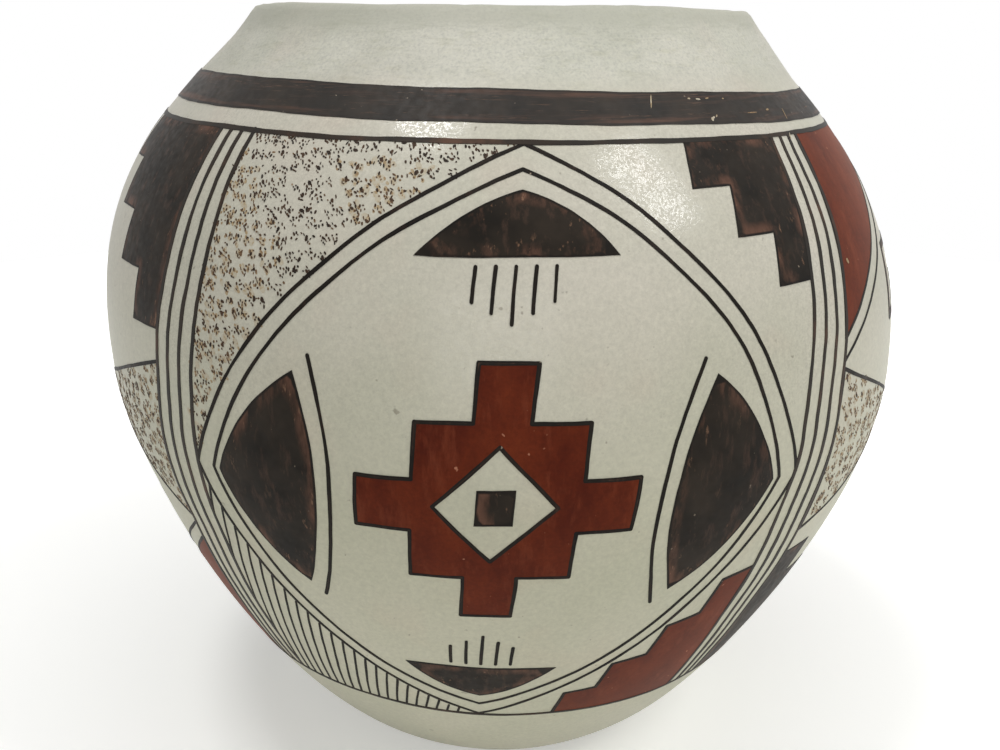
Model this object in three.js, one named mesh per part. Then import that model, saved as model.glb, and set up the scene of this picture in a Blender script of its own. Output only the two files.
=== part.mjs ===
// A hand-built pottery vase, as its potter builds it: a moulded base pat, wall coils lapped one on the next,
// and a rim coil with a rounded lip. Each coil's lower edge hangs as a lip inside the coil below it.
// Millimetres, +Z up. The origin is the middle of the flat foot, on the surface that the vase stands on.
import * as THREE from "three";

// Outside, in millimetres
const HEIGHT = 238.5;
const FOOT_RADIUS = 46;
const BELLY_RADIUS = 127;
const BELLY_HEIGHT = 134;
const THROAT_RADIUS = 98.7;
const THROAT_DROP = 26; // from the top of the lip down to where the shoulder turns into the neck
const RIM_RADIUS = 77.4;
const LIP_ROUND = 2;

// How far the wall leans in from the vertical, in degrees
const THROAT_LEAN = 42.5;
const RIM_LEAN = 35;

// How full the curves are: each handle's length as a share of the stretch that it shapes
const HEEL_FULLNESS = 0.345;
const LOWER_FULLNESS = 0.31;
const UPPER_FULLNESS = 0.18;
const SHOULDER_FULLNESS = 0.555;
const NECK_FULLNESS = 0.8;
const RIM_FULLNESS = 0.35;

// Clay, in millimetres
const BASE_THICKNESS = 8;
const BELLY_WALL = 6;
const RIM_WALL = 5.5;
const BASE_PAT_HEIGHT = 24;
const LAP = 4; // how far each coil hangs inside the one below
const LAP_CLEARANCE = 0.3;
const INNER_RIDGE = 0.6; // how far the middle of a coil stands out on the inside

// Counts
const WALL_COILS = 7;
const AROUND = 64;
const CURVE_STEPS = 60;
const COIL_FACETS = 4;
const HEEL_FACETS = 6;
const LIP_FACETS = 4;

const SLIP_COLOUR = "#c9c8b8";
const CLAY_COLOUR = "#c39a74";

// The outer profile: three cubic curves in the plane of radius (x) and height (y).
function outerProfile() {
  const foot = new THREE.Vector2(FOOT_RADIUS, 0);
  const belly = new THREE.Vector2(BELLY_RADIUS, BELLY_HEIGHT);
  const throat = new THREE.Vector2(THROAT_RADIUS, HEIGHT - THROAT_DROP);
  const rim = new THREE.Vector2(RIM_RADIUS, HEIGHT - LIP_ROUND);
  const upAt = (lean) => {
    const angle = THREE.MathUtils.degToRad(lean);
    return new THREE.Vector2(-Math.sin(angle), Math.cos(angle));
  };
  const along = (from, direction, length) => from.clone().addScaledVector(direction, length);
  const outward = new THREE.Vector2(1, 0);
  const up = new THREE.Vector2(0, 1);
  const upperRise = throat.y - belly.y;
  const neckRise = rim.y - throat.y;

  const path = new THREE.CurvePath();
  path.add(
    new THREE.CubicBezierCurve(
      foot,
      along(foot, outward, HEEL_FULLNESS * (BELLY_RADIUS - FOOT_RADIUS)),
      along(belly, up, -LOWER_FULLNESS * BELLY_HEIGHT),
      belly,
    ),
  );
  path.add(
    new THREE.CubicBezierCurve(
      belly,
      along(belly, up, UPPER_FULLNESS * upperRise),
      along(throat, upAt(THROAT_LEAN), -SHOULDER_FULLNESS * upperRise),
      throat,
    ),
  );
  path.add(
    new THREE.CubicBezierCurve(
      throat,
      along(throat, upAt(THROAT_LEAN), NECK_FULLNESS * neckRise),
      along(rim, upAt(RIM_LEAN), -RIM_FULLNESS * neckRise),
      rim,
    ),
  );
  return path.curves.flatMap((curve, i) => {
    const points = curve.getPoints(CURVE_STEPS);
    return i === 0 ? points : points.slice(1);
  });
}

// The clay's thickness at a height: it thins from the base to the belly, and again to the rim.
function thicknessAt(height) {
  if (height < BELLY_HEIGHT) {
    return THREE.MathUtils.mapLinear(height, 0, BELLY_HEIGHT, BASE_THICKNESS, BELLY_WALL);
  }
  return THREE.MathUtils.mapLinear(height, BELLY_HEIGHT, HEIGHT, BELLY_WALL, RIM_WALL);
}

// The inner profile: the outer one moved in along its normal by the clay's thickness.
function innerProfile(outer) {
  return outer.map((point, i) => {
    const before = outer[Math.max(i - 1, 0)];
    const after = outer[Math.min(i + 1, outer.length - 1)];
    const tangent = after.clone().sub(before).normalize();
    const inward = new THREE.Vector2(-tangent.y, tangent.x);
    return point.clone().addScaledVector(inward, thicknessAt(point.y));
  });
}

// A profile's radius at a height. Above its last point it runs on in a straight line.
function radiusAt(profile, height) {
  const found = profile.findIndex((point) => point.y >= height);
  const i = found < 0 ? profile.length - 1 : Math.max(found, 1);
  const [low, high] = [profile[i - 1], profile[i]];
  return THREE.MathUtils.mapLinear(height, low.y, high.y, low.x, high.x);
}

const OUTER = outerProfile();
const INNER = innerProfile(OUTER);
const outerRadius = (height) => radiusAt(OUTER, height);
const innerRadius = (height) => radiusAt(INNER, height);

// The joints' heights: above the base pat, each coil builds the same length of wall.
function jointHeights() {
  const wall = OUTER.filter((point) => point.y > BASE_PAT_HEIGHT);
  wall.unshift(new THREE.Vector2(outerRadius(BASE_PAT_HEIGHT), BASE_PAT_HEIGHT));
  const reached = [0];
  for (let i = 1; i < wall.length; i++) {
    reached.push(reached[i - 1] + wall[i].distanceTo(wall[i - 1]));
  }
  const whole = reached[reached.length - 1];
  const heights = [];
  for (let n = 0; n <= WALL_COILS; n++) {
    const target = (whole * n) / (WALL_COILS + 1);
    const i = Math.max(reached.findIndex((length) => length >= target), 1);
    const share = (target - reached[i - 1]) / (reached[i] - reached[i - 1]);
    heights.push(Math.fround(THREE.MathUtils.lerp(wall[i - 1].y, wall[i].y, share)));
  }
  return heights;
}

// Where a lap's upright face stands: the middle of the clay that both ends of the lap have in common.
function lapRadius(joint) {
  const lipEnd = joint - LAP;
  const inside = Math.max(innerRadius(joint), innerRadius(lipEnd));
  const outside = Math.min(outerRadius(joint), outerRadius(lipEnd));
  return (inside + outside) / 2;
}

const at = (radius, height) => new THREE.Vector2(radius, height);

// The outer face between two heights, from the bottom up.
function outerFace(bottom, top, facets) {
  const face = [];
  for (let i = 0; i <= facets; i++) {
    const height = THREE.MathUtils.lerp(bottom, top, i / facets);
    face.push(at(outerRadius(height), height));
  }
  return face;
}

// The top of a piece that carries a coil: a flat shoulder, the lap's upright face and the ledge at its foot.
function seatForCoil(joint) {
  const radius = lapRadius(joint);
  const ledge = joint - LAP;
  return [at(radius, joint), at(radius, ledge), at(innerRadius(ledge), ledge)];
}

// The bottom of a coil: the end of its lip and the lip's upright face, clear of the piece below.
function lipOverJoint(joint) {
  const radius = lapRadius(joint) - LAP_CLEARANCE;
  const end = joint - LAP;
  return [at(innerRadius(end), end), at(radius, end), at(radius, joint)];
}

// The middle of a coil's inner face, which the potter's thumb leaves a little proud.
function innerRidge(bottom, top) {
  const height = (bottom + top) / 2 - LAP;
  return at(innerRadius(height) - INNER_RIDGE, height);
}

// A solid turned from a profile about the vertical axis.
function turned(profile) {
  return new THREE.LatheGeometry(profile, AROUND).rotateX(Math.PI / 2);
}

function ring(profile) {
  return turned([...profile, profile[0].clone()]);
}

// The base pat, pressed in a shallow mould: a flat floor and the heel up to the first joint.
function basePat(joint) {
  const seat = seatForCoil(joint);
  const ledge = seat[seat.length - 1].y;
  const floor = [];
  for (let i = 1; i <= HEEL_FACETS; i++) {
    const share = (1 - i / HEEL_FACETS) ** 2;
    const height = THREE.MathUtils.lerp(INNER[0].y, ledge, share);
    floor.push(at(innerRadius(height), height));
  }
  const heel = [at(FOOT_RADIUS, 0)];
  for (let i = 1; i <= HEEL_FACETS; i++) {
    const height = joint * (i / HEEL_FACETS) ** 2;
    heel.push(at(outerRadius(height), height));
  }
  return turned([at(0, 0), ...heel, ...seat, ...floor, at(0, INNER[0].y)]);
}

function wallCoil(bottom, top) {
  return ring([
    ...outerFace(bottom, top, COIL_FACETS),
    ...seatForCoil(top),
    innerRidge(bottom, top),
    ...lipOverJoint(bottom),
  ]);
}

// The rim coil: its top is a lip, rounded from the outer face over to the inner one.
function rimCoil(bottom) {
  const top = HEIGHT - LIP_ROUND;
  const half = (outerRadius(top) - innerRadius(top)) / 2;
  const middle = outerRadius(top) - half;
  const lip = [];
  for (let i = 1; i <= LIP_FACETS; i++) {
    const angle = (Math.PI * i) / LIP_FACETS;
    lip.push(at(middle + half * Math.cos(angle), top + LIP_ROUND * Math.sin(angle)));
  }
  return ring([
    ...outerFace(bottom, top, COIL_FACETS),
    ...lip,
    innerRidge(bottom, top),
    ...lipOverJoint(bottom),
  ]);
}

function piece(name, geometry, colour) {
  const material = new THREE.MeshStandardMaterial({ color: colour, roughness: 0.55, metalness: 0 });
  const mesh = new THREE.Mesh(geometry, material);
  mesh.name = name;
  return mesh;
}

const vase = new THREE.Group();
const joints = jointHeights();
vase.add(piece("base_pat", basePat(joints[0]), CLAY_COLOUR));
for (let n = 1; n <= WALL_COILS; n++) {
  vase.add(piece(`wall_coil_${n}`, wallCoil(joints[n - 1], joints[n]), SLIP_COLOUR));
}
vase.add(piece("rim_coil", rimCoil(joints[WALL_COILS]), SLIP_COLOUR));

export default vase;
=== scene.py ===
import random
from math import cos, pi, radians, sin

import bpy
import numpy as np
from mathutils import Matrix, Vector, kdtree, noise
from mathutils.geometry import delaunay_2d_cdt


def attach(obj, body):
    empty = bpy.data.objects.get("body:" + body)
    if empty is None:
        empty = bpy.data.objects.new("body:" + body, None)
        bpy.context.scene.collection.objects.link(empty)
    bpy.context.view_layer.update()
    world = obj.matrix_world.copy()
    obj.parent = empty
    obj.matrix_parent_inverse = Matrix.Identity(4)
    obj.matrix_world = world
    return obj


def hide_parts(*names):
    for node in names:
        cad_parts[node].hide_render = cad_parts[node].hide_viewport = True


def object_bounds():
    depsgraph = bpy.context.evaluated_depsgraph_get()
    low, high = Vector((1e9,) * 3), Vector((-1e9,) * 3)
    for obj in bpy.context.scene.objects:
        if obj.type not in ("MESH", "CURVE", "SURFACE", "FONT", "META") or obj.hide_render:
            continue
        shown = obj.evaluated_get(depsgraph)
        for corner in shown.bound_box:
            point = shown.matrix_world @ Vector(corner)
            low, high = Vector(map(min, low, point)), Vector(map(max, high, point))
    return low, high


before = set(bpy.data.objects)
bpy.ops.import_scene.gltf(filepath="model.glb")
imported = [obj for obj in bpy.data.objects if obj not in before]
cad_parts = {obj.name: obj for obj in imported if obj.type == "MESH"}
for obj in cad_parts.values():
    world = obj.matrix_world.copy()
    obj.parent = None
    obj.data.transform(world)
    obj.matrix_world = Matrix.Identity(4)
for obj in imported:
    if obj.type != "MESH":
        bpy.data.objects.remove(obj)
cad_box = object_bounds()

MM = 0.001

# The outside, as the solids have it
HEIGHT = cad_box[1].z / MM
FOOT_RADIUS = 46
BELLY_RADIUS = 127
BELLY_HEIGHT = 134
THROAT_RADIUS = 98.7
THROAT_DROP = 26  # from the lip's top down to where the shoulder meets the neck
THROAT_LEAN = radians(42.5)
RIM_RADIUS = 77  # where the lip starts to round
RIM_LEAN = radians(35)

# How full the profile's curves are: each handle's length as a share of its stretch
HEEL_FULLNESS, LOWER_FULLNESS = 0.345, 0.31
UPPER_FULLNESS, SHOULDER_FULLNESS = 0.18, 0.555
NECK_FULLNESS, RIM_FULLNESS = 0.8, 0.35

# The clay's thickness, and the low ridge that each pinched coil leaves on the inside
BASE_THICKNESS, BELLY_WALL, RIM_WALL = 8, 6, 5.5
COIL_RIDGE, COIL_PITCH = 0.5, 31.5

# What the hand leaves: the axis wanders sideways, the mouth dips to the right, and the left side is flatter
LEAN_HEIGHTS = [0, 100, 160, 203, 219, 230, 240]
LEAN_OFFSETS = [0, 1.5, 0, -1.6, -1.1, 0.8, 1.4]
MOUTH_DIP = 0.0129
FLAT_SIDE, FLAT_HEIGHT = radians(-90), 210
FLAT_REACH, FLAT_DEPTH = 24, 0.9

# The slip, and the clay under it. A wave is its depth, its count in a turn and its phase
SLIP_THICKNESS = 0.5
SLIP_SHOWS = 0.35  # how far the slip stands proud of the clay
SLIP_START = 2.2  # how far above the foot's edge the slip begins
SLIP_START_WAVES = [(0.8, 3, 0.5), (0.5, 8, 2), (0.3, 19, 0)]
SLIP_INSIDE = 15  # how far the slip runs down inside the mouth
SLIP_INSIDE_WAVES = [(1.6, 3, 1), (1.1, 7, 0), (0.6, 16, 2)]
FOOT_HOLLOW = 0.35  # how far the foot's middle stands off the floor

# How finely things are cut up
CURVE_STEPS, LIP_STEPS = 240, 24
SLIP_AROUND, CLAY_AROUND, RING_AROUND = 288, 240, 720
SLIP_ROW, HIDDEN_CLAY_ROW, BARE_CLAY_ROW = 2, 4, 2.2
PAINT_MESH = 3.2

# The paint: how far each coat stands proud of the slip, and how deep its underside is sunk
RED_LIFT, DARK_LIFT, DIVIDER_LIFT, RING_LIFT = 0.10, 0.14, 0.17, 0.20
WASH_LIFT, DAB_LIFT, NICK_LIFT = 0.02, 0.12, 0.24
PAINT_SUNK = 0.1

# The painted rings, as ways up the wall at the front, and how much higher each is on the left
BAND_TOP, BAND_TOP_TILT = 257.6, 2.7
BAND_BOTTOM, BAND_BOTTOM_TILT = 247.5, 2.5
BAND_SAG = 1.0  # half of how much lower the neck band is at the back
FRAME_LINE, FRAME_TILT, FRAME_WIDTH = 242.2, 1.1, 1.3
BOTTOM_LINE, BOTTOM_TILT, BOTTOM_WIDTH = 64, 1.5, 1.1

# The upright line groups between the panels: their angles at the bottom, middle and top, in degrees
DIVIDERS = [(-45.5, -42.3, -39), (37.5, 41, 48), (134, 135.5, 138), (224, 226, 227)]
DIVIDER_HALF = 3.6  # half a group's width, in degrees
DIVIDER_LINES = 4
DIVIDER_WIDTH, LINE_WIDTH, FINE_WIDTH, HATCH_WIDTH, FRET_WIDTH = 1.25, 1.0, 0.9, 0.7, 2.6

# Chips and scratches in the paint: angle in degrees, way up, length, width, lean in degrees, and paleness
NICKS = [
    (23.9, 253.4, 4.5, 0.34, 72, 0.92),
    (33.5, 247.4, 1.2, 0.8, 80, 0.97),
    (33.9, 247.9, 0.9, 0.6, 30, 1.0),
    (34.6, 248.3, 0.9, 0.4, 45, 0.9),
    (30.9, 254.0, 0.9, 0.5, 0, 0.9),
    (32.6, 253.7, 1.6, 0.5, -8, 1.0),
    (34.5, 253.9, 1.3, 0.4, 8, 0.85),
    (37.9, 253.6, 0.7, 0.4, 0, 0.9),
    (42.9, 248.7, 4.5, 0.35, 0, 0.7),
    (47.5, 249.3, 1.6, 0.6, 10, 0.75),
    (52.1, 247.4, 4.0, 0.3, 70, 0.75),
    (49.3, 240.4, 2.6, 0.4, 60, 1.0),
    (50.0, 204.2, 1.6, 0.9, 110, 0.8),
]

# A panel's half width, height and middle, and how far its curved lines bow
HALF = 88
TALL = 177
MID = TALL / 2
BOW = 13

# The studio, in metres, degrees and watts. A lamp is a name, a place, a width, a height and a power
CAMERA_PLACE = (0.0006, -0.3546, 0.2321)
CAMERA_PITCH = 18.06  # how far the camera looks down
CAMERA_LENS, CAMERA_SENSOR = 38.08, 36
LAMPS = [
    ("ceiling", (-0.34, -0.28, 1.56), 0.3, 0.3, 6.2),
    ("window", (0.94, -0.51, 1.32), 0.34, 0.66, 9.0),
    ("side_window", (1.49, 0.03, 0.7), 0.2, 0.3, 0.6),
    ("overhead", (0, -0.3, 1.7), 1.2, 1.2, 3.5),
    ("room", (0, -1.45, 0.4), 0.8, 0.8, 3.8),
]
LAMP_AIM = (0, 0, 0.13)
AMBIENT = 0.165
FLOOR_REACH = 0.9
FLOOR_GLOW = 0.35


# Shape

def bezier(*handles):
    t = np.linspace(0, 1, CURVE_STEPS + 1)[:, None]
    a, b, c, d = (np.array(h, float) for h in handles)
    return (1 - t) ** 3 * a + 3 * (1 - t) ** 2 * t * b + 3 * (1 - t) * t * t * c + t ** 3 * d


def leaning(angle):
    return np.array([-sin(angle), cos(angle)])


def outer_profile():
    """The outside from the foot's edge to where the lip starts to round, as radius and height."""
    lip = RIM_WALL / 2
    foot = np.array([FOOT_RADIUS, 0.0])
    belly = np.array([BELLY_RADIUS, BELLY_HEIGHT], float)
    throat = np.array([THROAT_RADIUS, HEIGHT - THROAT_DROP])
    rim = np.array([RIM_RADIUS, HEIGHT - lip * (1 - sin(RIM_LEAN))])
    rise, neck = throat[1] - belly[1], rim[1] - throat[1]
    up = np.array([0.0, 1.0])
    heel_handle = foot + np.array([HEEL_FULLNESS * (BELLY_RADIUS - FOOT_RADIUS), 0])
    heel = bezier(foot, heel_handle, belly - up * LOWER_FULLNESS * BELLY_HEIGHT, belly)
    turn_in = throat - leaning(THROAT_LEAN) * SHOULDER_FULLNESS * rise
    shoulder = bezier(belly, belly + up * UPPER_FULLNESS * rise, turn_in, throat)
    turn_up = throat + leaning(THROAT_LEAN) * NECK_FULLNESS * neck
    top = bezier(throat, turn_up, rim - leaning(RIM_LEAN) * RIM_FULLNESS * neck, rim)
    return np.vstack([heel, shoulder[1:], top[1:]])


def way_along(path):
    return np.concatenate([[0], np.cumsum(np.linalg.norm(np.diff(path, axis=0), axis=1))])


def inner_profile(outer):
    """The inside: the outside moved in by the clay's thickness, with a low ridge for each coil."""
    along = np.gradient(outer, axis=0)
    along /= np.linalg.norm(along, axis=1)[:, None]
    heights = [0, BELLY_HEIGHT, HEIGHT]
    thickness = np.interp(outer[:, 1], heights, [BASE_THICKNESS, BELLY_WALL, RIM_WALL])
    way = way_along(outer)
    fade = np.clip((way[-1] - way) / COIL_PITCH, 0, 1) * np.clip(way / COIL_PITCH, 0, 1)
    ridge = COIL_RIDGE * fade * np.cos(2 * pi * way / COIL_PITCH)
    inward = np.stack([-along[:, 1], along[:, 0]], 1)
    return outer + inward * (thickness + ridge)[:, None]


def lip_round(rim):
    """The lip: half a circle from the outside over to the inside, square to the leaning wall."""
    lip = RIM_WALL / 2
    facing = np.array([cos(RIM_LEAN), sin(RIM_LEAN)])
    middle = rim - lip * facing
    turn = np.linspace(0, pi, LIP_STEPS + 1)[1:-1, None]
    return middle + lip * (np.cos(turn) * facing + np.sin(turn) * leaning(RIM_LEAN))


def whole_profile():
    """The wall's section: from the foot's edge up the outside, over the lip and down to the floor."""
    outer = outer_profile()
    inner = inner_profile(outer)[::-1]
    floor = np.array([[0.0, inner[-1, 1]]])
    path = np.vstack([outer, lip_round(outer[-1]), inner, floor])
    way = way_along(path)
    lip_way = way[len(outer) - 1]
    return way, path, lip_way


WAY, PATH, RIM_WAY = whole_profile()
WHOLE_WAY = WAY[-1]


def on_path(s):
    return np.interp(s, WAY, PATH[:, 0]), np.interp(s, WAY, PATH[:, 1])


def section(s):
    """Radius, height and outward direction of the section at s."""
    reach = 0.4
    s = np.asarray(s, float)
    r1, z1 = on_path(np.minimum(s + reach, WHOLE_WAY))
    r0, z0 = on_path(np.maximum(s - reach, 0))
    length = np.hypot(r1 - r0, z1 - z0)
    return *on_path(s), (z1 - z0) / length, -(r1 - r0) / length


def unevenness(theta, z):
    """How far the hand-scraped wall swells or dips, in slow waves."""
    wave = (
        0.26 * np.sin(2 * theta + 0.9) * np.sin(z / 52)
        + 0.20 * np.sin(3 * theta + z / 38)
        + 0.15 * np.sin(5 * theta - z / 27 + 2)
        + 0.08 * np.sin(9 * theta + z / 15)
    )
    flat = np.exp(-(((z - FLAT_HEIGHT) / FLAT_REACH) ** 2) - (1 - np.cos(theta - FLAT_SIDE)) * 2)
    return wave * np.clip(z / 15, 0, 1) - FLAT_DEPTH * flat


def wall(theta, s, lift=0.0):
    """Points on the wall, lift outside it."""
    radius, height, out_r, out_z = section(s)
    out = unevenness(theta, height) + lift
    radius = radius + out_r * out
    x = radius * np.sin(theta) + np.interp(height, LEAN_HEIGHTS, LEAN_OFFSETS)
    y = -radius * np.cos(theta)
    z = height + out_z * out - MOUTH_DIP * x * (height / HEIGHT) ** 2
    return np.stack(np.broadcast_arrays(x, y, z), -1)


def wall_normals(theta, s):
    reach = 0.5
    across = wall(theta + reach / BELLY_RADIUS, s) - wall(theta - reach / BELLY_RADIUS, s)
    up = wall(theta, s + reach) - wall(theta, s - reach)
    normal = np.cross(across, up)
    return normal / np.linalg.norm(normal, axis=-1, keepdims=True)


# Meshes

def placed(name, data):
    made = bpy.data.objects.new(name, data)
    bpy.context.scene.collection.objects.link(made)
    return made


def piece(name, points, faces, normals, material, slot, **values):
    """A closed mesh on the vase's one body, with values for each vertex for its material."""
    mesh = bpy.data.meshes.new(name)
    mesh.from_pydata((points.reshape(-1, 3) * MM).tolist(), [], faces)
    for key, numbers in values.items():
        layer = mesh.attributes.new(key, "FLOAT", "POINT")
        layer.data.foreach_set("value", np.asarray(numbers, np.float32).ravel())
    mesh.polygons.foreach_set("use_smooth", [True] * len(mesh.polygons))
    if normals is not None:
        mesh.normals_split_custom_set_from_vertices(normals.reshape(-1, 3).tolist())
    mesh.materials.append(material)
    made = placed(name, mesh)
    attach(made, "root")
    return made


def quads(rows, columns, closed_rows):
    """Faces of a grid that closes round its columns, and round its rows too if closed_rows."""
    row = np.arange(rows if closed_rows else rows - 1)[:, None]
    column = np.arange(columns)[None, :]
    after_row, after_column = (row + 1) % rows, (column + 1) % columns
    corners = [row * columns + column, row * columns + after_column]
    corners += [after_row * columns + after_column, after_row * columns + column]
    return np.stack(np.broadcast_arrays(*corners), -1).reshape(-1, 4).tolist()


def around(count):
    return np.linspace(-pi, pi, count, endpoint=False)


def waves(theta, *terms):
    """A sum of waves round the vase, each a depth, a count in a turn and a phase."""
    return sum(depth * np.sin(count * theta + phase) for depth, count, phase in terms)


def slip_coat(material):
    """The slip: a thin shell from above the foot, up the outside and over the lip, with hand-wiped edges."""
    theta = around(SLIP_AROUND)[None, :]
    foot_edge = SLIP_START + waves(theta, *SLIP_START_WAVES)
    lip_end = RIM_WAY + pi * RIM_WALL / 2
    mouth_edge = lip_end + SLIP_INSIDE + waves(theta, *SLIP_INSIDE_WAVES)
    share = np.linspace(0, 1, int(np.mean(mouth_edge) / SLIP_ROW))[:, None]
    way = foot_edge + share * (mouth_edge - foot_edge)
    back = way[::-4]  # the hidden underside has a quarter of the rows
    points = np.concatenate([wall(theta, way), wall(theta, back, -SLIP_THICKNESS)])
    normals = np.concatenate([wall_normals(theta, way), -wall_normals(theta, back)])
    faces = quads(len(points), SLIP_AROUND, True)
    piece("slip_coat", points, faces, normals, material, "slipped_clay")


def clay_body(material):
    """The fired clay: the underside, the wall under the slip, and the scraped inside down to the floor."""
    theta = around(CLAY_AROUND)[None, :]
    foot_round, floor_middle = 0.5, 4
    under_slip = np.arange(foot_round, RIM_WAY, HIDDEN_CLAY_ROW)
    bare = np.arange(RIM_WAY, WHOLE_WAY - floor_middle, BARE_CLAY_ROW)
    way = np.concatenate([under_slip, bare])[:, None]
    shell = wall(theta, way, -SLIP_SHOWS)
    radii = np.array([6, 14, 22, 30, 37, 42, 44.5])[:, None]
    hollow = FOOT_HOLLOW * (1 - (radii / FOOT_RADIUS) ** 2)
    under = np.stack(np.broadcast_arrays(radii * np.sin(theta), -radii * np.cos(theta), hollow), -1)
    points = np.concatenate([under, shell]).reshape(-1, 3)
    faces = quads(len(under) + len(shell), CLAY_AROUND, False)
    bottom, floor = len(points), len(points) + 1
    last = len(points) - CLAY_AROUND
    for a in range(CLAY_AROUND):
        b = (a + 1) % CLAY_AROUND
        faces += [[bottom, b, a], [floor, last + a, last + b]]
    ends = np.array([[0, 0, FOOT_HOLLOW], [0, 0, PATH[-1, 1] - SLIP_SHOWS]])
    return piece("clay_body", np.vstack([points, ends]), faces, None, material, "bare_clay")


def ring(name, top, bottom, material):
    """A painted ring between two edges, each a function from the angle to the way up the wall."""
    theta = around(RING_AROUND)[None, :]
    columns = np.array([0, 0.12, 0.5, 0.88, 1])[:, None]
    low, high = bottom(theta), top(theta)
    way = low + (high - low) * columns
    edge = np.minimum(columns, 1 - columns) * (high - low)
    under = way[::-1]
    points = np.concatenate([wall(theta, way, RING_LIFT), wall(theta, under, -PAINT_SUNK)])
    normals = np.concatenate([wall_normals(theta, way), wall_normals(theta, under)])
    faces = quads(2 * len(columns), RING_AROUND, True)
    edge = np.concatenate([edge, edge[::-1]])
    piece(name, points, faces, normals, material, "dark_paint", edge=edge)


def shaky(theta, seed):
    """A hand-drawn edge's small wander."""
    return waves(theta, (0.12, 11, seed), (0.07, 23, 2 * seed), (0.04, 61, 3 * seed))


def ring_edge(way, tilt, seed, sag=0.0):
    """The way up of a ring's edge at an angle: lower on the right by tilt, and towards the back by sag."""
    return lambda theta: way - tilt * np.sin(theta) - sag * (1 - np.cos(theta)) + shaky(theta, seed)


def frame_way(theta):
    """The way up of the panels' top edge."""
    return FRAME_LINE - FRAME_TILT * np.sin(theta)


def way_between(theta, share):
    """The way up at a share of the panels' height."""
    low = BOTTOM_LINE - BOTTOM_TILT * np.sin(theta)
    return low + (frame_way(theta) - low) * share


# Painting by hand

WANDER, WANDER_REACH = 0.55, 21  # the hand's slow wander, and over what length it turns
TREMBLE, TREMBLE_REACH = 0.1, 4
BREATH = 0.3  # how much a line's width breathes, as a share of it
TIP_ROUND = 0.7  # how far along and beside a line's round end its corners stand, in half widths
noise.seed_set(1)  # so that noise_vector wanders the same way in every run


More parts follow.
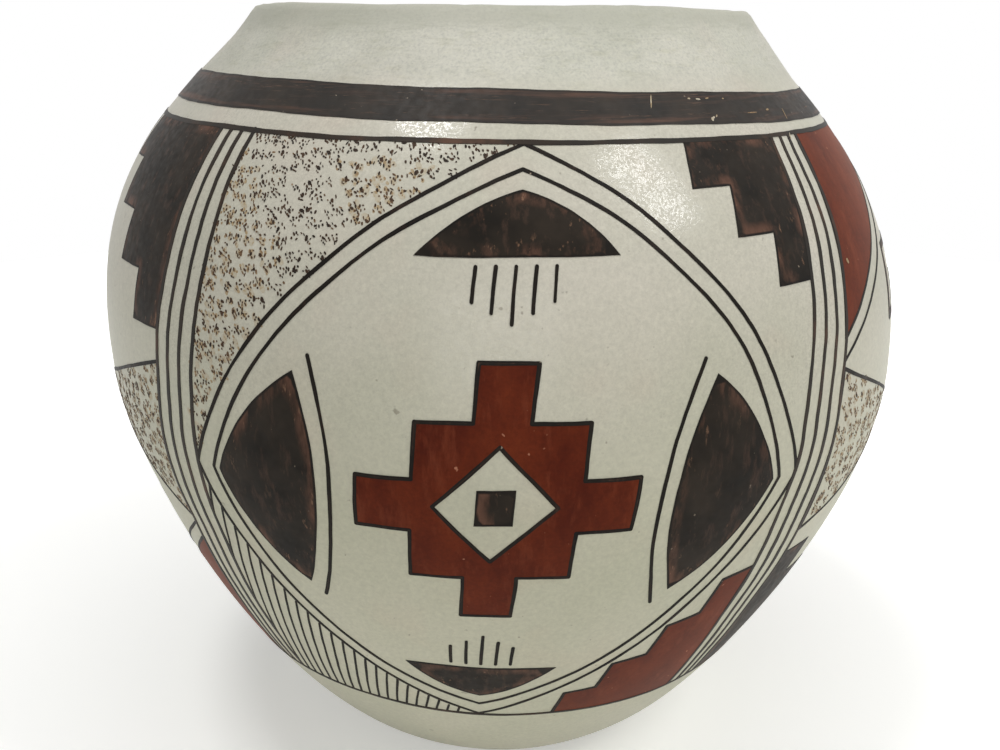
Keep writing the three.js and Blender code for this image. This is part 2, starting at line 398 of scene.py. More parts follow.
class Painting:
    """Shapes painted on a stretch of the unrolled wall, each over those before it.

    A point is (x, y) in the stretch's own measures, and place turns it into theta and s.
    """

    def __init__(self, name, place, seed):
        self.name, self.place, self.seed = name, place, seed
        self.draws = random.Random(seed)
        self.shapes = []
        self.spines = []

    def flat(self, points):
        """Points on the unrolled wall: the way round at the belly, and the way up."""
        points = np.asarray(points, float)
        theta, s = self.place(points[:, 0], points[:, 1])
        return np.stack([theta * BELLY_RADIUS, s], 1)

    def walked(self, corners, step=2.2):
        """A line through corners with a point every step, wandering as a hand does."""
        out = []
        for a, b in zip(corners[:-1], corners[1:]):
            a, b = np.array(a, float), np.array(b, float)
            count = max(1, round(float(np.linalg.norm(b - a)) / step))
            out += [a + (b - a) * i / count for i in range(count)]
        out.append(np.array(corners[-1], float))
        moved = []
        for x, y in out:
            far = Vector((x / WANDER_REACH, y / WANDER_REACH, self.seed * 3.7))
            near = Vector((x / TREMBLE_REACH, y / TREMBLE_REACH, self.seed * 1.3))
            slow, quick = noise.noise_vector(far), noise.noise_vector(near)
            moved.append([x + WANDER * slow.x + TREMBLE * quick.x, y + WANDER * slow.y + TREMBLE * quick.y])
        return np.array(moved)

    def add(self, colour, outline):
        """A shape on top of the others, turned anticlockwise."""
        ahead = np.roll(outline, -1, axis=0)
        area = np.sum(outline[:, 0] * ahead[:, 1] - ahead[:, 0] * outline[:, 1])
        self.shapes.append((colour, outline if area > 0 else outline[::-1]))

    def fill(self, colour, corners):
        """A shape with hand-drawn sides between its corners."""
        self.add(colour, self.flat(self.walked([*corners, corners[0]])[:-1]))

    def stroke(self, corners, width=LINE_WIDTH):
        """One pull of the brush: a line with round ends whose width breathes."""
        path = self.flat(self.walked(corners, 1.5))
        squeeze = section(path[:, 1])[0] / BELLY_RADIUS
        ahead = np.gradient(path, axis=0) * np.stack([squeeze, np.ones_like(squeeze)], 1)
        ahead /= np.linalg.norm(ahead, axis=1)[:, None]
        beside = np.stack([-ahead[:, 1] / squeeze, ahead[:, 0]], 1)
        start = self.draws.uniform(0, 50)
        breath = [noise.noise(Vector((start + i * 0.11, self.seed, 0))) for i in range(len(path))]
        half = width / 2 * (1 + BREATH * np.array(breath))[:, None]
        left, right = path + beside * half, path - beside * half
        tip = half[-1] * ahead[-1] / [squeeze[-1], 1]
        tail = half[0] * ahead[0] / [squeeze[0], 1]
        tip_side = beside[-1] * half[-1] * TIP_ROUND
        tail_side = beside[0] * half[0] * TIP_ROUND
        front = path[-1] + [tip * TIP_ROUND - tip_side, tip, tip * TIP_ROUND + tip_side]
        back = path[0] + [tail_side - tail * TIP_ROUND, -tail, -tail_side - tail * TIP_ROUND]
        self.add("dark", np.vstack([right, front, left[::-1], back]))
        self.spines += path.tolist()

    def strokes(self, corners, width=LINE_WIDTH, closed=False):
        """A line with corners, where the brush is set down anew for each straight."""
        ends = [*corners, corners[0]] if closed else corners
        for a, b in zip(ends[:-1], ends[1:]):
            self.stroke([a, b], width)

    def outlined(self, colour, corners):
        self.fill(colour, corners)
        self.strokes(corners, closed=True)

    def cut_up(self):
        """Triangles of the whole stretch, with the colour on top of each."""
        points, faces = [], []
        for _, outline in self.shapes:
            faces.append(list(range(len(points), len(points) + len(outline))))
            points += outline.tolist()
        low, high = lows_highs(points)
        across = np.arange(low[0] + 1, high[0], PAINT_MESH)
        up = np.arange(low[1] + 1, high[1], PAINT_MESH)
        inner = [[a + (j % 2) * PAINT_MESH / 2, b] for j, b in enumerate(up) for a in across]
        merged = 0.02
        found = delaunay_2d_cdt([Vector(p) for p in points + self.spines + inner], [], faces, 0, merged)
        corners, triangles, owners = np.array([list(v) for v in found[0]]), found[2], found[5]
        colours = [self.shapes[max(o)][0] if o else None for o in owners]
        return corners, triangles, colours

    def coats(self, materials):
        """A closed thin piece for each colour of paint."""
        corners, triangles, colours = self.cut_up()
        for colour, (lift, material, slot) in materials.items():
            worn = np.array([t for t, c in zip(triangles, colours) if c == colour])
            if len(worn):
                thin_coat(f"{colour}_{self.name}", corners, worn, lift, material, slot)

    def top_colour(self, points):
        """The colour on top at each point."""
        top = np.full(len(points), -1)
        for i, (_, outline) in enumerate(self.shapes):
            top[inside(points, outline)] = i
        return [self.shapes[i][0] if i >= 0 else None for i in top]


def lows_highs(points):
    return np.min(points, axis=0), np.max(points, axis=0)


def inside(points, outline):
    """Which points lie inside an outline, by counting the edges to their right."""
    x, y = points[:, 0][:, None], points[:, 1][:, None]
    x1, y1 = outline[:, 0], outline[:, 1]
    x2, y2 = np.roll(x1, -1), np.roll(y1, -1)
    rise = np.where(y2 == y1, 1e-9, y2 - y1)
    crosses = ((y1 > y) != (y2 > y)) & (x < (x2 - x1) * (y - y1) / rise + x1)
    return crosses.sum(axis=1) % 2 == 1


def coat_faces(flat, lift):
    """Points and normals of a coat's top and of its sunk underside."""
    theta, s = flat[:, 0] / BELLY_RADIUS, flat[:, 1]
    points = np.concatenate([wall(theta, s, lift), wall(theta, s, -PAINT_SUNK)])
    return points, np.tile(wall_normals(theta, s), (2, 1))


def thin_coat(name, corners, triangles, lift, material, slot):
    """A closed coat of paint over some triangles of the wall."""
    used, faces = np.unique(triangles, return_inverse=True)
    faces = faces.reshape(-1, 3)
    count = len(used)
    flat = corners[used]
    sides = {(int(a), int(b)) for f in faces for a, b in zip(f, np.roll(f, -1))}
    border = [(a, b) for a, b in sides if (b, a) not in sides]
    points, normals = coat_faces(flat, lift)
    shell = faces.tolist() + (faces[:, ::-1] + count).tolist()
    shell += [[a, a + count, b + count, b] for a, b in sorted(border)]
    depth = from_border(flat, border)
    piece(name, points, shell, normals, material, slot, edge=np.concatenate([depth, depth]))


def from_border(flat, border):
    """How far each point is from the coat's border."""
    ends = np.array(border)
    marks = np.concatenate([flat[ends[:, 0]], flat[ends].mean(axis=1)])
    tree = kdtree.KDTree(len(marks))
    for i, mark in enumerate(marks):
        tree.insert((mark[0], mark[1], 0), i)
    tree.balance()
    return np.array([tree.find((p[0], p[1], 0))[2] for p in flat])


# The dabs of a frayed brush

STAMPS = [
    [(-1.2, 0.9), (-0.5, 0.4), (0.4, 1.1), (-0.8, -0.3), (0.3, -0.2), (1.1, 0.3), (0.1, -1.2), (-0.3, -0.8)],
    [(-1.1, 0.2), (-0.3, 1.1), (0.1, 0.2), (1.0, 0.9), (0.9, -0.5), (-0.4, -0.6), (0.2, -1.3)],
    [(-1.3, -0.1), (-0.7, 0.8), (0.3, 0.6), (0.0, -0.4), (1.1, -0.1), (1.2, 0.9), (-0.6, -1.1), (0.1, -1.5)],
    [(-0.9, 0.7), (0.2, 1.2), (0.5, 0.3), (-0.3, -0.1), (1.2, -0.4), (0.3, -0.9), (-1.2, -0.6)],
]
WASHES = [(1.2, 0.8, 1.0), (1.0, 0.6, 0.97), (0.6, 0.4, 0.86), (0.5, 0.3, 0.82), (0.4, 0.3, 0.8)]
DAB_PITCH = 3.7
DAB_TILT = 0.18  # how much the brush turns from dab to dab, in radians
HAIR_LEAN, HAIR_TURN = 1.85, 0.4  # how the flecks lie in a dab, and how much that varies
DRY_BRUSH = 0.2  # how dry the brush has to be before its thin washes show
MISSED = 0.18  # the share of flecks that don't touch the wall
FLECK_SIDES = 7


def dab_places(painting, corners, turn):
    """The middles of rows of brush dabs over a field."""
    draws = painting.draws
    low, high = lows_highs(corners)
    middle, reach = (low + high) / 2, float(np.linalg.norm(high - low)) / 2
    count = int(reach / DAB_PITCH) + 1
    c, s = cos(turn), sin(turn)
    found = []
    for j in range(-count, count + 1):
        for i in range(-count, count + 1):
            x = i * DAB_PITCH + (j % 2) * DAB_PITCH / 2 + draws.gauss(0, 0.55)
            y = j * DAB_PITCH + draws.gauss(0, 0.6)
            found.append([middle[0] + x * c - y * s, middle[1] + x * s + y * c])
    return np.array(found)


def fleck(draws, length, width, turn):
    c, s = cos(turn), sin(turn)
    out = []
    for i in range(FLECK_SIDES):
        angle = 2 * pi * (i + draws.uniform(-0.25, 0.25)) / FLECK_SIDES
        x, y = length * cos(angle), width * sin(angle)
        out.append([x * c - y * s, x * s + y * c])
    return out


def dab_marks(draws, dryness):
    """One dab's flecks: each a place, length, width and tone, with thin washes if the brush is dry."""
    marks = []
    for x, y in draws.choice(STAMPS):
        long, wide = draws.uniform(0.2, 0.6), draws.uniform(0.14, 0.3)
        marks.append((x, y, long, wide, draws.gauss(0.08 + 0.8 * dryness, 0.15)))
    long = draws.uniform(0.25, 0.8)
    x, y = draws.gauss(0, 0.5), draws.gauss(0.2, 0.5)
    marks.append((x, y, long, 0.6 * long, draws.gauss(0.7 * dryness, 0.1)))
    if dryness > DRY_BRUSH:
        for long, wide, tone in WASHES:
            marks.append((draws.gauss(0, 0.8), draws.gauss(0, 0.8), long, wide, tone))
    return marks


def dabs(painting, fields, material):
    """All the dabs of a painting, as one piece of many small closed flecks."""
    draws = painting.draws
    outlines, tones = [], []
    for corners, turn in fields:
        flat = painting.flat(dab_places(painting, corners, turn))
        for (across, up), colour in zip(flat, painting.top_colour(flat)):
            patch = noise.noise(Vector((across / 30, up / 30, painting.seed)))
            dryness = 0.12 + 0.4 * patch + 0.0045 * (FRAME_LINE - up)
            tilt, size = turn + draws.gauss(0, DAB_TILT), draws.uniform(0.8, 1.15)
            c, s = cos(tilt) * size, sin(tilt) * size
            squeeze = section(up)[0] / BELLY_RADIUS
            for x, y, long, wide, tone in dab_marks(draws, dryness):
                outline = fleck(draws, long, wide, tilt + HAIR_LEAN + draws.gauss(0, HAIR_TURN))
                ax, ay = across + (x * c - y * s) / squeeze, up + x * s + y * c
                clear = ay < frame_way(ax / BELLY_RADIUS) - long
                if colour == "dabbed" and clear and draws.random() > MISSED:
                    outlines.append([[ax + px / squeeze, ay + py] for px, py in outline])
                    tones.append(min(1.0, max(0.0, tone)))
    if outlines:
        tones = np.array(tones)
        apart = 0.004 * np.linspace(0, 1, len(tones))  # so that no two flecks lie in one plane
        lifts = WASH_LIFT + (DAB_LIFT - WASH_LIFT) * (1 - tones) + apart
        flecks_piece(f"dabs_{painting.name}", np.array(outlines), lifts, tones, material)


def nicks(material):
    """Chips and scratches where the slip shows through the paint."""
    draws = random.Random(41)
    outlines = []
    for angle, way, length, width, lean, _ in NICKS:
        squeeze = section(way)[0] / BELLY_RADIUS
        mark = np.array(fleck(draws, length / 2, width / 2, radians(lean)))
        outlines.append([radians(angle) * BELLY_RADIUS, way] + mark / [squeeze, 1])
    tones = np.array([nick[-1] for nick in NICKS])
    flecks_piece("paint_nicks", np.array(outlines), np.full(len(NICKS), NICK_LIFT), tones, material)


def flecks_piece(name, outlines, lifts, tones, material):
    """A piece of closed flecks, each from an outline, a lift and a tone."""
    count, sides = outlines.shape[:2]
    points, normals = coat_faces(outlines.reshape(-1, 2), np.repeat(lifts, sides))
    faces, under = [], count * sides
    for first in range(0, under, sides):
        loop = list(range(first, first + sides))
        faces += [loop, [v + under for v in loop[::-1]]]
        faces += [[a, a + under, b + under, b] for a, b in zip(loop, loop[1:] + loop[:1])]
    tone = np.tile(np.repeat(tones, sides), 2)
    piece(name, points, faces, normals, material, "dark_paint", tone=tone)


# The panels

def divider_angle(angles, share):
    """A divider's angle at a share of the panels' height."""
    low, middle, high = (radians(a) for a in angles)
    start, end = low * (1 - share) * (1 - 2 * share), high * share * (2 * share - 1)
    return start + 4 * middle * share * (1 - share) + end


def panel_place(left, right):
    """From (x, y) in the panel between two dividers to theta and s."""
    half = radians(DIVIDER_HALF)

    def place(x, y):
        share = y / TALL
        start, end = divider_angle(left, share) + half, divider_angle(right, share) - half
        theta = start + (end - start) * (x + HALF) / (2 * HALF)
        return theta, way_between(theta, share)

    return place


def divider_place(angles):
    """From (x, y), with x in degrees off the divider's middle, to theta and s."""

    def place(x, y):
        theta = divider_angle(angles, y / TALL) + np.radians(x)
        return theta, way_between(theta, y / TALL)

    return place


def stair(start, steps, run, rise):
    """Corners of a flight of steps, each first along by run and then up by rise."""
    x, y = start
    corners = [(x, y)]
    for _ in range(steps):
        corners += [(x + run, y), (x + run, y + rise)]
        x, y = x + run, y + rise
    return corners


def hatched(painting, corners, pitch, slope):
    """Thin parallel lines across a field, clipped to it."""
    low, high = lows_highs(corners)
    reach = high[1] - low[1]
    outline = np.array(corners, float)
    x = low[0] - abs(slope) * reach
    while x < high[0] + abs(slope) * reach:
        line = np.array([[x + slope * t * reach, low[1] + t * reach] for t in np.linspace(0, 1, 81)])
        held = line[inside(line, outline)]
        if len(held) > 3:
            painting.stroke([tuple(held[0]), tuple(held[-1])], HATCH_WIDTH)
        x += pitch


def lozenge(middle, half, steps):
    tread = half / (steps + 0.5)
    x, y = middle
    corners = []
    for i in range(steps + 1):
        out, up = (i + 0.5) * tread, half - i * tread
        corners += [(x + out, y + up), (x + out, y + up - tread)]
    corners = corners[:-1]
    corners += [(a, 2 * y - b) for a, b in corners[::-1]]
    corners += [(2 * x - a, b) for a, b in corners[::-1]]
    return corners


def bowed(start, end, out):
    """Points along a line that bows out to its left, by out at the middle."""
    a, b = np.array(start, float), np.array(end, float)
    along = b - a
    side = np.array([-along[1], along[0]]) / np.linalg.norm(along)
    return [tuple(a + along * t + side * out * 4 * t * (1 - t)) for t in np.linspace(0, 1, 33)]


def front_corners(p):
    """The four corners outside the diamond: dabs, dark steps, red steps and hatching."""
    left = (-HALF, MID)
    dabbed = [(-HALF, TALL), *bowed(left, (0, TALL), BOW)[::-1]]
    p.fill("dabbed", dabbed)
    terrace = [(HALF - x, y) for x, y in stair((0, TALL - 39), 3, 13, 13)]
    p.fill("dark", [*terrace, (HALF, TALL)][::-1])
    steps = []
    for i in range(4):
        x, y = 31 + 14.3 * i, 14.3 * i
        steps += [(x, y), (x + 2, y + 12.5)]
    p.outlined("red", [(HALF, 0), *steps, (HALF, 57)])
    hatched(p, [(-HALF, 0), *bowed((0, 0), left, BOW)], 4.4, 0.25)
    return dabbed


def front_panel(p):
    """A great bowed diamond of two lines, with dark caps and a stepped red lozenge."""
    dabbed = front_corners(p)
    for inset in (0, 5):
        reach = HALF - inset * 1.35
        ends = [(0, MID + reach), (reach, MID), (0, MID - reach), (-reach, MID)]
        for a, b in zip(ends, [*ends[1:], ends[0]]):
            p.stroke(bowed(a, b, BOW))
    for side in (-1, 1):
        tip, upper, lower = (side * 79, MID), (side * 54, MID + 31), (side * 54, MID - 31)
        wedge = bowed(tip, upper, -side * 3)
        wedge += bowed(upper, lower, -side * 7)[1:-1]
        wedge += bowed(lower, tip, -side * 3)[:-1]
        p.fill("dark", wedge)
        p.stroke(bowed((side * 50, MID + 35), (side * 50, MID - 35), -side * 7))
        base = MID + side * 60
        peak, near, far = (0, MID + side * 76), (-26, base), (26, base)
        p.fill("dark", [*bowed(near, peak, side * 2.5), *bowed(peak, far, side * 2.5)[1:]])
        for i in range(5):
            x = (i - 2) * 5
            p.stroke([(x, base - side * 2), (x, base - side * (15 - 0.5 * abs(x)))], FINE_WIDTH)
    p.outlined("red", lozenge((0, MID), 36, 2))
    p.outlined("bare", [(0, MID + 16), (16, MID), (0, MID - 16), (-16, MID)])
    p.fill("dark", [(-5, MID - 5), (5, MID - 5), (5, MID + 5), (-5, MID + 5)])
    return [(dabbed, 0.1)]


def side_panel(p):
    """A column of hourglasses. On either side: steps, a dabbed wedge, a red corner and a fret."""
    fields = []
    for x in (-18, -14, 14, 18):
        p.stroke([(x, 0), (x, TALL)])
    tall = TALL / 5
    for i in range(5):
        y = i * tall
        p.fill("dark", [(-14, y + 1.5), (14, y + 1.5), (0, y + tall / 2)])
        p.fill("dark", [(0, y + tall / 2), (14, y + tall - 1.5), (-14, y + tall - 1.5)])
    for side in (1, -1):
        def at(x, y, side=side):
            return side * x, MID + side * y

        terrace = [at(32, MID)]
        for i in range(4):
            terrace += [at(32 + 14 * i, MID - 14 * (i + 1)), at(46 + 14 * i, MID - 14 * (i + 1))]
        p.fill("dark", [*terrace[:-1], at(HALF, MID - 56), at(HALF, MID)])
        wedge = [at(24, 2), at(HALF, 24), at(HALF, -24)]
        p.outlined("dabbed", wedge)
        fields.append((wedge, 0.1 * side))
        p.outlined("red", [at(HALF, -MID), at(22, -MID), at(HALF, -32)])
        p.stroke([at(20, -MID + 8), at(HALF, -26)], FINE_WIDTH)
        fret = [at(26, -14), at(26, -50), at(50, -50), at(50, -30), at(37, -30), at(37, -40)]
        p.strokes(fret, FRET_WIDTH)
    return fields


# Materials

def shade(colour):
    """A shader's colour, from three numbers as on screen, 0 to 255, from a grey or from a node."""
    if isinstance(colour, tuple):
        out = [((c / 255 + 0.055) / 1.055) ** 2.4 if c > 10 else c / 255 / 12.92 for c in colour]
        return (*out, 1.0)
    return (colour, colour, colour, 1) if isinstance(colour, float) else colour


class Nodes:
    """A node tree, with short ways to add to it."""

    def __init__(self, tree):
        self.tree = tree

    def node(self, kind, settings=None, **inputs):
        """A new node with its settings, and a value or another node's output on each input."""
        made = self.tree.nodes.new(f"ShaderNode{kind}")
        for key, value in (settings or {}).items():
            setattr(made, key, value)
        for key, value in inputs.items():
            self.put(made.inputs[key], value)
        return made

    def put(self, socket, value):
        if isinstance(value, bpy.types.NodeSocket):
            self.tree.links.new(value, socket)
        else:
            socket.default_value = value

    def math(self, way, first, second):
        made = self.node("Math", {"operation": way})
        self.put(made.inputs[0], first)
        self.put(made.inputs[1], second)
        return made.outputs[0]

    def seen_directly(self):
        """1 for what the camera sees, straight or in a gloss, and 0 for the light on the vase."""
        path = self.node("LightPath").outputs
        seen = self.math("MAXIMUM", path["Is Camera Ray"], path["Is Glossy Ray"])
        return self.math("MAXIMUM", seen, path["Is Transmission Ray"])


class Look(Nodes):
    """A material being made, with short names for the nodes that it uses."""

    def __init__(self, name, roughness, specular=0.5):
        self.material = bpy.data.materials.new(name)
        self.material.use_nodes = True
        super().__init__(self.material.node_tree)
        self.shader = self.tree.nodes["Principled BSDF"]
        self.put(self.shader.inputs["Roughness"], roughness)
        self.put(self.shader.inputs["Specular IOR Level"], specular)
        self.place = self.node("TexCoord").outputs["Object"]

    def stretched(self, scale, turn=(0, 0, 0)):
        return self.node("Mapping", Vector=self.place, Scale=scale, Rotation=turn).outputs["Vector"]

    def noise(self, size, detail=3, rough=0.5, place=None, seed=0):
        """Noise with blobs of about size millimetres."""
        numbers = {"W": seed, "Scale": 1 / (size * MM), "Detail": detail, "Roughness": rough}
        made = self.node("TexNoise", {"noise_dimensions": "4D"}, Vector=place or self.place, **numbers)
        return made.outputs["Fac"]

    def ramp(self, value, *stops):
        """Value through colour stops, each a position and a colour or grey."""
        last = max(1.0, stops[-1][0])
        if last > 1:
            value = self.math("DIVIDE", value, last)
            stops = [(position / last, colour) for position, colour in stops]
        made = self.node("ValToRGB", Fac=value)
        elements = made.color_ramp.elements
        while len(elements) < len(stops):
            elements.new(0.5)
        for element, (position, colour) in zip(elements, stops):
            element.position = position
            element.color = shade(colour)
        return made.outputs["Color"]

    def mix(self, share, first, second, way="MIX"):
        settings = {"data_type": "RGBA", "blend_type": way}
        made = self.node("Mix", settings, Factor=share, A=shade(first), B=shade(second))
        return made.outputs["Result"]

    def times(self, first, second):
        return self.math("MULTIPLY", first, second)

    def tint(self, first, second, share=1.0):
        return self.mix(share, first, second, "MULTIPLY")

    def value(self, name):
        return self.node("Attribute", {"attribute_name": name}).outputs["Fac"]

    def length(self, vector):
        return self.node("VectorMath", {"operation": "LENGTH"}, Vector=vector).outputs["Value"]

    def share_of_height(self):
        up = self.node("SeparateXYZ", Vector=self.place).outputs["Z"]
        return self.math("DIVIDE", up, HEIGHT * MM)

    def across(self):
        """How far a point is from the vase's axis, as a share of the foot's radius."""
        return self.math("DIVIDE", self.length(self.stretched((1, 1, 0))), FOOT_RADIUS * MM)

    def facing(self):
        """How squarely a point faces the front or the back: 1 there, and 0 at the sides."""
        y = self.node("SeparateXYZ", Vector=self.place).outputs["Y"]
        from_axis = self.times(self.across(), FOOT_RADIUS * MM)
        return self.math("ABSOLUTE", self.math("DIVIDE", y, from_axis), 0)

    def bump(self, height, distance, strength=1.0, under=None):
        made = self.node("Bump", Height=height, Distance=distance * MM, Strength=strength)
        if under:
            self.put(made.inputs["Normal"], under)
        return made.outputs["Normal"]

    def finish(self, colour, roughness=None, normal=None):
        for key, value in (("Base Color", colour), ("Roughness", roughness), ("Normal", normal)):
            if value:
                self.put(self.shader.inputs[key], value)
        return self.material


def wiped_slip(look, share, drag, flecked):
    """The slip's colour above the neck band: paler and cooler, partly a painted sheen, smudged, scratched
    and pitted, and darker at the lip.
    """
    smudge = look.ramp(drag, (0.3, (244, 245, 241)), (0.5, 1.0), (0.74, (234, 234, 224)))
    blotch = look.noise(24, 4, 0.6, place=look.stretched((1, 1, 2.2)), seed=13)
    dull = look.ramp(blotch, (0.34, (238, 239, 232)), (0.56, (255, 255, 250)))
    strands = look.noise(3, 4, 0.6, place=look.stretched((1, 1, 4)), seed=21)
    scratches = look.ramp(strands, (0.645, 0.0), (0.72, 0.4))
    scratched = look.mix(scratches, flecked, (122, 116, 100))
    pitted = look.ramp(look.noise(0.7, 2, 0.6, seed=23), (0.33, 0.82), (0.5, 1.0), (0.7, 1.06))
    # A cool pale tint: partly the wiped slip's paler tone, partly a painted cool sheen
    paler_and_painted_sheen = look.mix(0.2, look.tint(scratched, pitted), (230, 235, 245))
    colour = look.tint(look.tint(paler_and_painted_sheen, smudge), dull)
    # A darker grey-green band along the lip's top, with a wandering lower edge
    wander = look.times(look.math("SUBTRACT", drag, 0.5), 0.05)
    thin = look.ramp(look.math("ADD", share, wander), (0.97, 0.0), (0.982, 0.6))
    return look.mix(thin, colour, (178, 178, 163))


def slip_roughness(look, share, wiped):
    """Broken gloss where the front's and the back's shoulder was rubbed most, satin below and matt above."""
    burnished = look.ramp(look.noise(0.66, 2, 0.6, seed=1), (0.44, 0.42), (0.55, 0.11))
    polished = look.ramp(share, (0.5, 0.0), (0.68, 1.0))
    well_rubbed = look.ramp(look.facing(), (0.6, 0.0), (0.82, 1.0))
    rubbed = look.mix(look.times(polished, well_rubbed), 0.44, burnished)
    return look.mix(wiped, rubbed, 0.62)


def slip_material():
    """Grey-cream slip: stone-burnished and softly glossy on the wall, only wiped on above the neck band."""
    look = Look("burnished_slip", 0.36, 0.32)
    share = look.share_of_height()
    wiped = look.ramp(share, (0.905, 0.0), (0.935, 1.0))
    cloudy = look.ramp(look.noise(38), (0.35, (197, 194, 177)), (0.68, (205, 200, 185)))
    blush = look.ramp(look.noise(26, 2, seed=5), (0.56, 0.0), (0.74, 1.0))
    warm = look.mix(look.times(blush, 0.35), cloudy, (207, 191, 175))
    # The slip is tinted yellower, and very slightly darker, towards the bottom half
    yellower_below = look.ramp(share, (0.5, (250, 252, 243)), (0.75, 1.0))
    warm = look.tint(warm, yellower_below)
    grain = look.ramp(look.noise(1.3, 6, 0.75), (0.32, 0.78), (0.68, 1.12))
    grained = look.tint(warm, grain, 0.6)
    specks = look.ramp(look.noise(2.2, 2, seed=2), (0.715, 0.0), (0.77, 0.55))
    flecked = look.mix(specks, grained, (112, 102, 84))
    drag = look.noise(8, 6, 0.72, place=look.stretched((1, 1, 7)), seed=4)
    colour = look.mix(wiped, flecked, wiped_slip(look, share, drag, flecked))
    strokes = look.noise(7, 2, place=look.stretched((1, 1, 0.3)), seed=7)
    normal = look.bump(look.noise(0.8, 2, 0.6, seed=3), 0.03)
    normal = look.bump(strokes, 0.12, 0.3, under=normal)
    normal = look.bump(look.times(drag, wiped), 0.12, 0.5, under=normal)
    return look.finish(colour, slip_roughness(look, share, wiped), normal)


def clay_material():
    """Bare fired clay: buff and gritty, with a smoky cloud, scraping marks and a rubbed foot."""
    look = Look("scraped_clay", 0.85, 0.3)
    buff = look.ramp(look.noise(30, 4), (0.3, (188, 150, 116)), (0.7, (205, 172, 140)))
    cloud = look.ramp(look.noise(55, seed=4), (0.54, 0.0), (0.68, 0.6))
    smoky = look.mix(cloud, buff, (128, 108, 92))
    grain = look.ramp(look.noise(1.6, 4, 0.7), (0.3, 0.8), (0.7, 1.1))
    grained = look.tint(smoky, grain, 0.7)
    fine_grit = look.ramp(look.noise(1.5, 1, seed=8), (0.68, 0.0), (0.74, 0.7))
    gritty = look.mix(fine_grit, grained, (118, 92, 70))
    coarse_grit = look.ramp(look.noise(3.4, 2, 0.6, seed=9), (0.72, 0.0), (0.76, 0.8))
    gritty = look.mix(coarse_grit, gritty, (104, 78, 60))
    rubbed = look.ramp(look.noise(5, 5, 0.7, seed=10), (0.42, 0.0), (0.62, 0.6))
    edge_wear = look.ramp(look.across(), (0.78, 0.0), (0.9, 1.0), (1.04, 1.0), (1.1, 0.0))
    on_foot = look.ramp(look.share_of_height(), (0.004, 1.0), (0.012, 0.0))
    wear = look.times(look.times(rubbed, edge_wear), on_foot)
    colour = look.mix(wear, gritty, (142, 126, 108))
    scraped = look.noise(2.6, place=look.stretched((1, 1, 4)), seed=6)
    normal = look.bump(look.noise(0.9, seed=3), 0.12, 0.6)
    normal = look.bump(scraped, 0.3, 0.5, under=normal)
    return look.finish(colour, normal=normal)


BRUSH_TURN = (0.4, 0.5, 0)  # how the brush streaks in the panels' paint are turned


def dark_material(name, stretch, turn=(0, 0, 0), brown=1.0, gloss=0.1, outline_tone=0.5):
    """Brown-black mineral paint in brush streaks, thin and brown in places just inside its outline."""
    look = Look(name, 0.5, gloss)
    place, edge = look.stretched(stretch, turn), look.value("edge")
    soft = look.ramp(look.noise(12, 3, 0.6, seed=6), (0.35, (22, 18, 13)), (0.65, (44, 37, 30)))
    streaks = look.ramp(look.noise(7, 5, 0.66, place=place), (0.54, 0.0), (0.8, 0.55 * brown))
    body = look.mix(streaks, soft, (100, 75, 63))
    outline = look.ramp(edge, (0.4, outline_tone), (0.8, 1.0))
    body = look.tint(body, outline)
    inside_edge = look.ramp(edge, (0.45, 0.0), (0.8, 1.0), (1.8, 0.8), (3.6, 0.0))
    patchy = look.ramp(look.noise(16, 5, 0.66, place=place, seed=3), (0.47, 0.0), (0.62, 0.85 * brown))
    colour = look.mix(look.times(inside_edge, patchy), body, (104, 74, 60))
    dry_place = look.ramp(edge, (0.4, 0.0), (1.0, 1.0), (3.0, 1.0), (5.0, 0.15))
    dry = look.ramp(look.noise(3.6, 5, 0.7, place=place, seed=11), (0.6, 0.0), (0.7, 0.75 * brown))
    colour = look.mix(look.times(dry_place, dry), colour, (152, 116, 92))
    worn = look.ramp(look.noise(1.7, 2, seed=9), (0.74, 0.0), (0.78, 0.7))
    bald = look.ramp(look.noise(5, 4, 0.6, seed=17), (0.7, 0.0), (0.75, 0.8))
    colour = look.mix(look.math("MAXIMUM", worn, bald), colour, (184, 168, 148))
    rough = look.ramp(look.noise(2, seed=2), (0.3, 0.46), (0.7, 0.6))
    normal = look.bump(look.noise(1.1, place=place), 0.02, 0.4)
    return look.finish(colour, rough, normal)


def line_material():
    """The same paint in thin lines: nearly black, and brown where the brush was running out."""
    look = Look("line_paint", 0.5, 0.16)
    load = look.noise(14, 4, 0.6)
    colour = look.ramp(load, (0.44, (26, 21, 14)), (0.58, (42, 31, 21)), (0.74, (84, 57, 40)))
    return look.finish(colour, normal=look.bump(look.noise(1, 2), 0.04, 0.5))


def red_material():
    """Brick-red iron paint, rubbed and a little uneven, with a few pale scuffs."""
    look = Look("red_paint", 0.5, 0.06)
    uneven = look.noise(13, 4, 0.6, place=look.stretched((1, 1, 0.5)))
    body = look.ramp(uneven, (0.32, (75, 23, 10)), (0.68, (108, 44, 21)))
    fine = look.ramp(look.noise(1.1, 4, 0.7, seed=2), (0.3, 0.72), (0.7, 1.18))
    body = look.tint(body, fine, 0.8)
    streaks = look.noise(9, 5, 0.7, place=look.stretched((2.4, 2.4, 0.6), BRUSH_TURN), seed=5)
    rubbed = look.ramp(streaks, (0.52, 0.0), (0.7, 0.5))
    body = look.mix(rubbed, body, (126, 62, 40))
    scuffs = look.ramp(look.noise(2.0, 2, seed=8), (0.72, 0.0), (0.76, 0.7))
    colour = look.mix(scuffs, body, (186, 128, 100))
    look.put(look.shader.inputs["Sheen Weight"], 0.12)
    look.put(look.shader.inputs["Sheen Tint"], (1, 0.52, 0.34, 1))
    normal = look.bump(look.noise(0.9), 0.03, 0.5)
    return look.finish(colour, normal=normal)


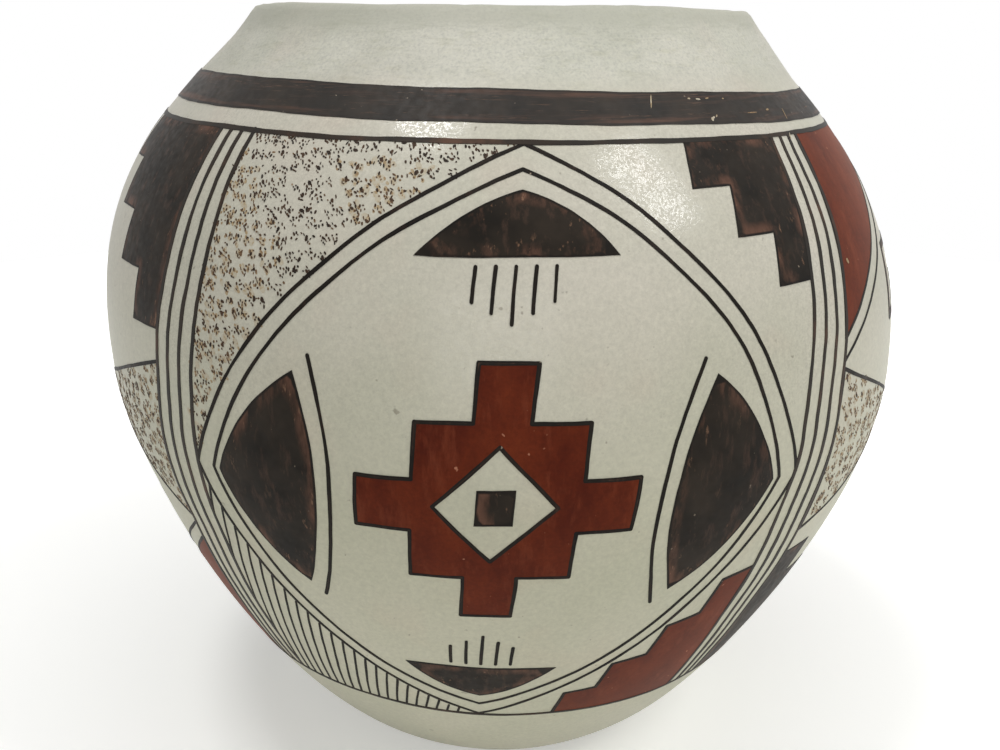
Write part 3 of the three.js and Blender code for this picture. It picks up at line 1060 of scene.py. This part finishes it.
def dab_material():
    """The dabs: from nearly black where the brush was full, through brown, to a thin tan wash."""
    look = Look("dab_paint", 0.6, 0.16)
    fine = look.noise(0.8, 2)
    tone = look.math("ADD", look.value("tone"), look.times(look.math("SUBTRACT", fine, 0.5), 0.5))
    colour = look.ramp(
        tone,
        (0.0, (36, 28, 21)),
        (0.35, (78, 58, 43)),
        (0.65, (134, 108, 80)),
        (0.86, (172, 150, 116)),
        (1.0, (193, 184, 163)),
    )
    return look.finish(colour)


# The vase

def paint_rings(band_paint, line_paint):
    """The dark band round the neck, and the thin lines above and below the panels."""
    top = ring_edge(BAND_TOP, BAND_TOP_TILT, 1, BAND_SAG)
    bottom = ring_edge(BAND_BOTTOM, BAND_BOTTOM_TILT, 2, BAND_SAG)
    ring("neck_band", top, bottom, band_paint)
    lines = [
        ("frame_line", FRAME_LINE, FRAME_TILT, FRAME_WIDTH / 2, 3),
        ("bottom_line", BOTTOM_LINE, BOTTOM_TILT, BOTTOM_WIDTH / 2, 5),
    ]
    for name, way, tilt, half, seed in lines:
        top, bottom = ring_edge(way + half, tilt, seed), ring_edge(way - half, tilt, seed + 0.6)
        ring(name, top, bottom, line_paint)


def paint_panels(dark, red, line_paint, dab_paint):
    """The four panels, each with the divider lines on its left."""
    designs = {"front": front_panel, "right": side_panel, "back": front_panel, "left": side_panel}
    ends = DIVIDERS + [tuple(a + 360 for a in DIVIDERS[0])]
    for n, (name, design) in enumerate(designs.items()):
        p = Painting(f"paint_{name}", panel_place(ends[n], ends[n + 1]), seed=n + 1)
        fields = design(p)
        p.coats({"dark": (DARK_LIFT, dark, "dark_paint"), "red": (RED_LIFT, red, "red_paint")})
        dabs(p, fields, dab_paint)
        lines = Painting(f"divider_{n + 1}", divider_place(ends[n]), seed=n + 11)
        for i in range(DIVIDER_LINES):
            x = DIVIDER_HALF * (2 * i / (DIVIDER_LINES - 1) - 1)
            lines.stroke([(x, 0), (x, TALL)], DIVIDER_WIDTH)
        lines.coats({"dark": (DIVIDER_LIFT, line_paint, "dark_paint")})


def vase():
    slip, clay, red, dab_paint = slip_material(), clay_material(), red_material(), dab_material()
    band_paint = dark_material("band_paint", (0.5, 0.5, 9), brown=0.6, gloss=0.2, outline_tone=0.85)
    dark = dark_material("dark_paint", (2.2, 2.2, 0.6), BRUSH_TURN)
    line_paint = line_material()
    body = clay_body(clay)
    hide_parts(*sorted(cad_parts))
    slip_coat(slip)
    paint_rings(band_paint, line_paint)
    paint_panels(dark, red, line_paint, dab_paint)
    nicks(dab_paint)


# The studio

def lamp(name, place, width, height, power):
    data = bpy.data.lights.new(name, "AREA")
    data.shape = "RECTANGLE"
    data.size, data.size_y, data.energy = width, height, power
    made = placed(name, data)
    made.location = place
    aim = Vector(LAMP_AIM) - Vector(place)
    made.rotation_euler = aim.to_track_quat("-Z", "Y").to_euler()


def floor():
    """A pale round floor that keeps the vase's shadow and fades into the white behind it."""
    mesh = bpy.data.meshes.new("floor")
    rim = [(FLOOR_REACH * sin(a), -FLOOR_REACH * cos(a), 0) for a in around(96)]
    mesh.from_pydata(rim, [], [tuple(range(len(rim)))])
    look = Look("pale_floor", 0.9, 0.1)
    away = look.math("DIVIDE", look.length(look.place), FLOOR_REACH)
    glow = look.ramp(away, (0.1, FLOOR_GLOW), (0.8, 1.0))
    look.put(look.shader.inputs["Emission Color"], (1, 1, 1, 1))
    look.put(look.shader.inputs["Emission Strength"], look.times(glow, look.seen_directly()))
    mesh.materials.append(look.finish((0.94, 0.94, 0.91, 1)))
    made = placed("floor", mesh)


def surroundings():
    world = bpy.data.worlds.new("studio")
    bpy.context.scene.world = world
    world.use_nodes = True
    nodes = Nodes(world.node_tree)
    background = world.node_tree.nodes["Background"].inputs
    nodes.put(background["Color"], (1, 1, 1, 1))
    strength = nodes.node("Mix", Factor=nodes.seen_directly(), A=AMBIENT, B=1.0)
    nodes.put(background["Strength"], strength.outputs["Result"])


def camera():
    data = bpy.data.cameras.new("camera")
    data.sensor_width = CAMERA_SENSOR
    data.lens = CAMERA_LENS
    data.clip_start = 0.01
    made = placed("camera", data)
    made.location = CAMERA_PLACE
    made.rotation_euler = (radians(90 - CAMERA_PITCH), 0, 0)
    bpy.context.scene.camera = made


camera()
vase()
floor()
surroundings()
for row in LAMPS:
    lamp(*row)
bpy.context.scene.view_settings.view_transform = "Standard"
